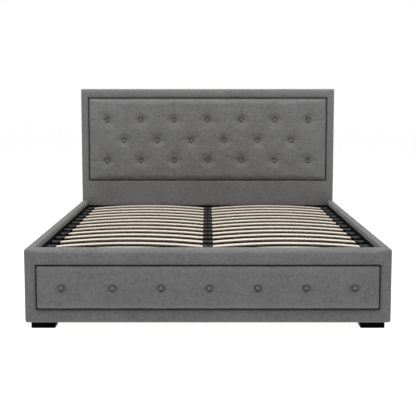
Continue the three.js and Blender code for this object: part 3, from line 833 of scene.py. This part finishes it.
class Border:
    """Padded strips round an opening. inner and outer are (x0, x1, z0, z1) in the plane of the front face."""

    def __init__(self, inner, outer, front, section, corner, seams, middle=None):
        self.inner = inner
        self.outer = outer
        self.front = front
        self.section = section  # the cross-section at a strip's ends
        self.middle = middle or section  # and along the rest of it
        self.corner = corner
        self.seams = seams  # by side: whether a seam shows at the strip's low end and at its high end

    def rectangle(self, fraction, offset):
        """The rectangle this fraction of the way from the inner to the outer one, moved out by offset."""
        x0, x1, z0, z1 = (a + (b - a) * fraction for a, b in zip(self.inner, self.outer))
        return x0 - offset, x1 + offset, z0 - offset, z1 + offset

    def strip(self, name, side, body):
        """One side's strip, mitred at both ends, with a sewn seam drawn in where the design has one."""
        level = side in ("top", "bottom")
        x0, x1, z0, z1 = self.outer
        span = x1 - x0 if level else z1 - z0
        close_to_ends = {0.0015, 0.004, 0.996, 0.9985}
        shares = sorted(set(spread(0.0, 1.0, math.ceil(span / PAD_SPACING))) | close_to_ends)
        low_seam, high_seam = self.seams[side]
        vertices = []
        for at_end, at_middle in zip(self.section, self.middle):
            for share in shares:
                weight = min(1.0, min(share, 1 - share) * span / MITRE_BLEND)
                weight *= weight * (3 - 2 * weight)
                fraction, offset, deep = (a + (b - a) * weight for a, b in zip(at_end, at_middle))
                x0, x1, z0, z1 = self.rectangle(fraction, offset)
                low, high = (x0, x1) if level else (z0, z1)
                along = low + (high - low) * share
                x, z = {
                    "top": (along, z1), "bottom": (along, z0), "left": (x0, along), "right": (x1, along),
                }[side]
                seam = min(along - low if low_seam else NO_SEAM, high - along if high_seam else NO_SEAM)
                stitch = 0.5 * MM * math.exp(-((seam / (2.5 * MM)) ** 2))
                inward = stitch + 0.3 * MM * math.exp(-seam / (20 * MM))
                facing = 1.0 if deep < 6 * MM else 0.3
                ripple = 0.6 * MM * soft_noise(x, deep, z, 9.0) + 0.3 * MM * soft_noise(x, deep, z, 31.0)
                x, z = rounded_corner(x, z, self.outer, self.corner)
                vertices.append((x, self.front + deep + (inward - ripple) * facing, z))
        faces = grid_faces(len(self.section), len(shares), flip=side in ("bottom", "right"))
        piece = add_piece(name, vertices, faces, FABRIC, body)
        return piece


def border_section(inner_depth, outer_depth, inner_roll, outer_roll, flap=0.0, lean=1.0, crown=1.5 * MM):
    """A strip's cross-section from the opening's lining, over the front, to the outer side and its flap.

    Each entry is (share of the way from inner to outer edge, outward offset, depth behind the front).
    lean stretches the outer roll backwards, which turns it into a sloping shoulder.
    """
    section = [(0.0, 0.0, d) for d in spread(inner_depth, inner_roll, 6)]
    section += [(0.0, across, deep) for across, deep in quarter(inner_roll, 6)[1:]]
    for i in range(1, 8):
        share = i / 8
        offset = inner_roll * (1 - share) - outer_roll * share
        section.append((share, offset, -crown * (1 - (2 * share - 1) ** 4)))
    section += [(1.0, -across, deep * lean) for across, deep in quarter(outer_roll, 8)[::-1]]
    back = outer_depth - (EDGE_TURN if flap else 0.0)
    section += [(1.0, 0.0, d) for d in spread(outer_roll * lean, back, 6)[1:]]
    if flap:
        section += [(1.0, -across, back + depth) for across, depth in turned(EDGE_TURN, 4)]
        section += [(1.0, -flap, outer_depth)]
    return section


def opening_round(node):
    """The opening in a cover round its pad, as (x0, x1, z0, z1)."""
    low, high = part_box(node)
    return low.x - OPENING_GAP, high.x + OPENING_GAP, low.z - OPENING_GAP, high.z + OPENING_GAP


def build_headboard_cover():
    """The border's four strips, and the skirts on the posts below them."""
    low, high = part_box("headboard_cover")
    opening = opening_round("headboard_pad")
    outer = (low.x, high.x, STRIP_BOTTOM, high.z)
    section = border_section(RECESS_DEPTH, high.y - low.y, 12 * MM, 14 * MM, flap=BACK_FLAP)
    seams = {"top": (True, True), "left": (False, True), "right": (False, True), "bottom": (False, False)}
    border = Border(opening, outer, low.y, section, 10 * MM, seams)
    shallow = border_section(RECESS_DEPTH, RECESS_DEPTH, 12 * MM, 4 * MM)
    lower = Border(opening, outer, low.y, shallow, 0.1 * MM, seams)
    border.strip("headboard_top_border", "top", "bed_frame")
    border.strip("headboard_left_border", "left", "bed_frame")
    right = border.strip("headboard_right_border", "right", "bed_frame")
    lower.strip("headboard_lower_strip", "bottom", "bed_frame")
    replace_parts(right, "headboard_cover")
    for side in (-1, 1):
        build_headboard_skirt(side)


def build_headboard_skirt(side):
    """The cover on a headboard post's outer side, below the strip, with its edge turned onto the back."""
    low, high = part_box("headboard_cover")
    x = high.x * side
    tucked = low.y + 0.6 * MM  # just behind the strip's face
    turn_start = high.y - EDGE_TURN
    section = [(x - side * 12 * MM, tucked), (x - side * 3 * MM, tucked)]
    section += [(x - side * 0.9 * MM, low.y + 1.5 * MM), (x, low.y + EDGE_TURN)]
    section += [(x, y) for y in steps(low.y + EDGE_TURN, turn_start, 12 * MM)[1:]]
    section += [(x - side * across, turn_start + back) for across, back in turned(EDGE_TURN, 4)]
    section += [(x - side * BACK_FLAP, high.y)]
    heights = steps(low.z, STRIP_BOTTOM + 4 * MM, 12 * MM)
    vertices = []
    for z in heights:
        for px, py in section:
            ripple = 0.3 * MM * soft_noise(px, py, z, 12.0)
            vertices.append((px + side * ripple, py, z))
    faces = grid_faces(len(heights), len(section), flip=side < 0)
    name = "headboard_right_skirt" if side > 0 else "headboard_left_skirt"
    add_piece(name, vertices, faces, FABRIC, "bed_frame")


def build_foot_cover():
    """The four strips round the drawer's opening, whose top one has a sloping shoulder, and the lining."""
    low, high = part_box("foot_cover")
    opening = opening_round("drawer_front_pad")
    outer = (low.x, high.x, low.z, high.z)
    depth = high.y - low.y
    seams = {side: (False, False) for side in ("top", "bottom", "left", "right")}
    section = border_section(depth, depth, 11 * MM, 12 * MM)
    shoulder = border_section(depth, depth, 9 * MM, 28 * MM, lean=1.6)
    border = Border(opening, outer, low.y, section, 12 * MM, seams)
    top = Border(opening, outer, low.y, section, 12 * MM, seams, middle=shoulder)
    for side in ("bottom", "left", "right"):
        border.strip(f"foot_{side}_border", side, "bed_frame")
    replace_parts(top.strip("foot_top_border", "top", "bed_frame"), "foot_cover")
    build_foot_lining(high)


def build_foot_lining(high):
    """The cover's edge turned over the foot end's top and down its inner face, towards the slats."""
    face = high.y + LINING_CLEARANCE
    under_strip = high.z - 0.6 * MM
    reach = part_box("right_rail_cover")[0].x - 1 * MM
    section = [(face - 2 * EDGE_TURN, under_strip), (face - EDGE_TURN, under_strip)]
    section += [(face - across, high.z - deep) for across, deep in quarter(EDGE_TURN, 4)[::-1][1:]]
    section += [(face, z) for z in steps(LINING_BOTTOM, high.z - EDGE_TURN, 12 * MM)[::-1][1:]]
    xs = steps(-reach, reach, 10 * MM)
    vertices = []
    for x in xs:
        for y, z in section:
            vertices.append((x, y + 0.5 * MM * soft_noise(x, y, z, 9.0), z))
    faces = grid_faces(len(xs), len(section), flip=True)
    add_piece("foot_inner_lining", vertices, faces, FABRIC, "bed_frame")


# ---- Side rails --------------------------------------------------------------------------------
def rail_section(width, bottom, top):
    """A rail cover's cross-section as (across, z), from its inner face over the top and round under it."""
    inner_roll, outer_roll, foot_roll = 11 * MM, 12 * MM, 7 * MM
    flat = width - inner_roll - outer_roll
    section = [(0.0, z) for z in steps(LINING_BOTTOM, top - inner_roll, 12 * MM)]
    section += [(across, top - deep) for across, deep in quarter(inner_roll, 6)[1:]]
    for share in (0.25, 0.5, 0.75):
        section.append((inner_roll + flat * share, top + 1.0 * MM * math.sin(math.pi * share)))
    section += [(width - across, top - deep) for across, deep in quarter(outer_roll, 6)[::-1]]
    section += [(width, z) for z in steps(bottom + foot_roll, top - outer_roll, 14 * MM)[::-1][1:]]
    section += [(width - across, bottom + foot_roll - down) for across, down in turned(foot_roll, 4)]
    section += [(4 * MM, bottom)]
    return section


def build_rail_cover(side):
    """A rail's padded cover: round over its top, flat down its outer face, turned in underneath."""
    node = f"{side}_rail_cover"
    low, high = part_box(node)
    width = high.x - low.x
    section = rail_section(width, low.z, high.z)
    outwards = 1 if side == "right" else -1
    inner_face = low.x if side == "right" else high.x
    ys = steps(low.y, high.y, 10 * MM)
    vertices = []
    for y in ys:
        end = min(y - low.y, high.y - y)
        pinch = 0.8 * MM * math.exp(-((end / (5 * MM)) ** 2))
        for across, z in section:
            waves = 0.7 * MM * soft_noise(across * 3, y, z, 7.0) + 0.3 * MM * soft_noise(across, y, z, 27.0)
            outward = waves - pinch
            if z > high.z - 6 * MM:
                z += outward
            else:
                across += outward * (across / width - 0.5) * 2
            vertices.append((inner_face + outwards * across, y, z))
    faces = grid_faces(len(ys), len(section), flip=side == "left")
    cover = add_piece(f"{side}_rail_upholstery", vertices, faces, FABRIC, "bed_frame")
    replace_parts(cover, node)


# ---- Slats, holders and steel ------------------------------------------------------------------
SLAT_ROWS = 14
BEVEL_ANGLE = math.radians(35.0)  # sharper edges than this are softened
HOLDER_HALF = 31.5 * MM  # half the width of a slat holder
HOLDER_WALL = 1.8 * MM
HOLDER_ROLL = 5 * MM
HOLDER_LIP = 0.9 * MM
CENTRE_GAP = 0.3 * MM  # from the middle to each of two holders that stand back to back


def keep_node(node, material, edge=1.0 * MM):
    """Finishes a CAD node with a material and softened edges."""
    piece = NODES[node]
    for slot in piece.material_slots:
        slot.material = material
    bevel = piece.modifiers.new("softened_edges", "BEVEL")
    bevel.width = edge
    bevel.segments = 2
    bevel.limit_method = "ANGLE"
    bevel.angle_limit = BEVEL_ANGLE
    bevel.harden_normals = True
    piece.data.polygons.foreach_set("use_smooth", [True] * len(piece.data.polygons))


def holder_outline(base, top, inset):
    """A holder's cross-section as (across, z), with rounded top corners. inset makes the hollow's."""
    radius = HOLDER_ROLL - inset
    outline = [(HOLDER_HALF - inset, base + inset)]
    for sign, angles in ((1, spread(0.0, 0.5 * math.pi, 5)), (-1, spread(0.5 * math.pi, 0.0, 5))):
        for a in angles:
            across = HOLDER_HALF - HOLDER_ROLL + radius * math.cos(a)
            outline.append((sign * across, top - HOLDER_ROLL + radius * math.sin(a)))
    outline.append((-HOLDER_HALF + inset, base + inset))
    return outline


def slat_holder(name, node, mouth, closed, y):
    """A moulded cup for a slat's end: rounded top and closed end, a lip round the mouth, hollow inside.

    mouth and closed are the x of its two ends, and it takes its height from its node.
    """
    low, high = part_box(node)
    base, top = low.z, high.z
    length = abs(closed - mouth)
    direction = 1 if closed > mouth else -1
    outer = holder_outline(base, top, 0.0)
    hollow = holder_outline(base, top, HOLDER_WALL)
    # Each ring is (section, distance from the mouth, growth), from the closed end's inside to its outside.
    rings = [(hollow, length - HOLDER_WALL, 0.0), (hollow, 0.6 * MM, 0.0)]
    rings += [(outer, 0.0, 0.6 * MM), (outer, 0.8 * MM, HOLDER_LIP), (outer, 3.0 * MM, HOLDER_LIP)]
    rings += [(outer, 4.0 * MM, 0.0), (outer, length * 0.5, 0.0), (outer, length - 3.5 * MM, 0.0)]
    rings += [(outer, length - 1.2 * MM, -1.0 * MM), (outer, length, -3.2 * MM)]
    vertices = []
    for points, x, grow in rings:
        for across, z in points:
            side = 1 if across > 0 else -1
            lift = grow * (z - base) / (top - base)
            vertices.append((mouth + direction * x, y + across + side * grow, z + lift))
    columns = len(outer)
    faces = []
    for r in range(len(rings) - 1):
        for c in range(columns):
            a, b = r * columns + c, r * columns + (c + 1) % columns
            faces.append((a, b, b + columns, a + columns))
    last = len(vertices) - columns
    faces.append(tuple(range(columns))[::-1])
    faces.append(tuple(range(last, last + columns)))
    if direction < 0:
        faces = [face[::-1] for face in faces]
    holder = add_piece(name, vertices, faces, PLASTIC, "bed_frame")
    holder.data.polygons.foreach_set("use_smooth", [len(p.vertices) == 4 for p in holder.data.polygons])
    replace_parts(holder, node)


def build_slats():
    """The slats in their two columns, each with a holder on both ends."""
    left_low, left_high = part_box("left_holder_strip")
    right_low, right_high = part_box("right_holder_strip")
    centre_low, centre_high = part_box("centre_holder_strip")
    holders = (
        ("left_slat_holder", "left_holder_strip", left_high.x, left_low.x),
        ("right_slat_holder", "right_holder_strip", right_low.x, right_high.x),
        ("centre_left_holder", "centre_holder_strip", centre_low.x, -CENTRE_GAP),
        ("centre_right_holder", "centre_holder_strip", centre_high.x, CENTRE_GAP),
    )
    for row in range(1, SLAT_ROWS + 1):
        for side in ("left", "right"):
            keep_node(f"{side}_slat_{row:02d}", BIRCH, 1.2 * MM)
        low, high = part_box(f"right_slat_{row:02d}")
        for name, node, mouth, closed in holders:
            slat_holder(f"{name}_{row:02d}", node, mouth, closed, (low.y + high.y) / 2)


def build_structure():
    """Finishes for the steel, feet, timber, dust sheet, drawer box and slides, whose CAD shapes stay."""
    steel = ("left_slat_bearer", "right_slat_bearer", "centre_spine", "centre_leg_front", "centre_leg_rear")
    for node in steel:
        keep_node(node, POWDER_COAT, 0.8 * MM)
    for node in ("left_front_foot", "right_front_foot"):
        keep_node(node, SHADED_FOOT_PLASTIC, 1.5 * MM)
    for node in ("left_rail_board", "right_rail_board", "foot_frame"):
        keep_node(node, PINE)
    keep_node("headboard_frame", BLACK_TIMBER)
    keep_node("dust_sheet", NONWOVEN, 0.4 * MM)
    boards = ("drawer_front_board", "left_drawer_side", "right_drawer_side", "drawer_back", "drawer_bottom")
    for node in boards:
        keep_node(node, FOIL)
    for part in ("outer", "middle", "inner"):
        for side in ("left", "right"):
            keep_node(f"{side}_slide_{part}", ZINC, 0.3 * MM)


def add_floor():
    """A flat floor, which isn't part of the object."""
    corners = [(x * FLOOR_REACH, y * FLOOR_REACH, FLOOR) for x, y in ((-1, -1), (1, -1), (1, 1), (-1, 1))]
    mesh = bpy.data.meshes.new("floor")
    mesh.from_pydata(corners, [], [(0, 1, 2, 3)])
    mesh.materials.append(floor_material())
    floor = bpy.data.objects.new("floor", mesh)
    bpy.context.scene.collection.objects.link(floor)


add_camera()
add_surroundings()
add_overhead_light()
add_floor()
build_headboard_pad()
build_drawer_pad()
build_headboard_cover()
build_foot_cover()
for rail_side in ("left", "right"):
    build_rail_cover(rail_side)
build_slats()
build_structure()
